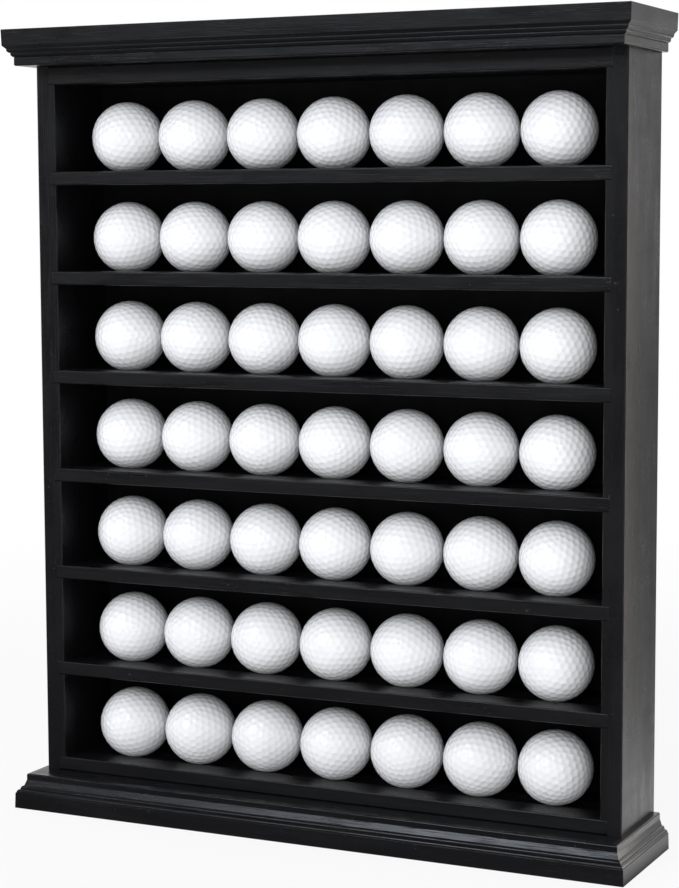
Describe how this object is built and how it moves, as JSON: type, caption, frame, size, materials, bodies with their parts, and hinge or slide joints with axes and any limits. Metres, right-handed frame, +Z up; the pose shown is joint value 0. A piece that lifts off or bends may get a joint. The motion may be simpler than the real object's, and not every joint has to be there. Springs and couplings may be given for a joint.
{
  "type": "golf ball display case",
  "caption": "Open-fronted black wooden case with stepped shelves between a moulded base and crown, holding rows of dimpled golf balls, with keyhole plates for the wall.",
  "frame": {"origin": "on the surface the case stands on, under the middle of its width and depth, mouldings included", "axes": "+Z up, -Y to the open front, +X to the right as seen from the front"},
  "size_m": [0.385, 0.0804, 0.4648],
  "materials": {
    "black_wood": "satin black paint over a smooth close-grained wood",
    "black_back_board": "matt black paint over thin board",
    "ball_cover": "gloss white, dimpled",
    "screw_steel": "zinc plated",
    "plate_steel": "zinc plated",
    "dowel_wood": "bare beech"
  },
  "bodies": {
    "root": {"base_screws": "screw_steel", "crown_dowels": "dowel_wood", "back_panel_pins": "screw_steel", "hanger_screws": "screw_steel", "left_side_panel": "black_wood", "right_side_panel": "black_wood", "top_panel": "black_wood", "shelf_1": "black_wood", "shelf_2": "black_wood", "shelf_3": "black_wood", "shelf_4": "black_wood", "shelf_5": "black_wood", "shelf_6": "black_wood", "bottom_panel": "black_wood", "back_panel": "black_back_board", "base_board": "black_wood", "base_front_moulding": "black_wood", "base_left_moulding": "black_wood", "base_right_moulding": "black_wood", "hanger_plates": "plate_steel", "crown_board": "black_wood", "crown_front_moulding": "black_wood", "crown_left_moulding": "black_wood", "crown_right_moulding": "black_wood", "ball_row_1": "ball_cover", "ball_row_2": "ball_cover", "ball_row_3": "ball_cover", "ball_row_4": "ball_cover", "ball_row_5": "ball_cover", "ball_row_6": "ball_cover", "ball_row_7": "ball_cover"}
  },
  "joints": []
}
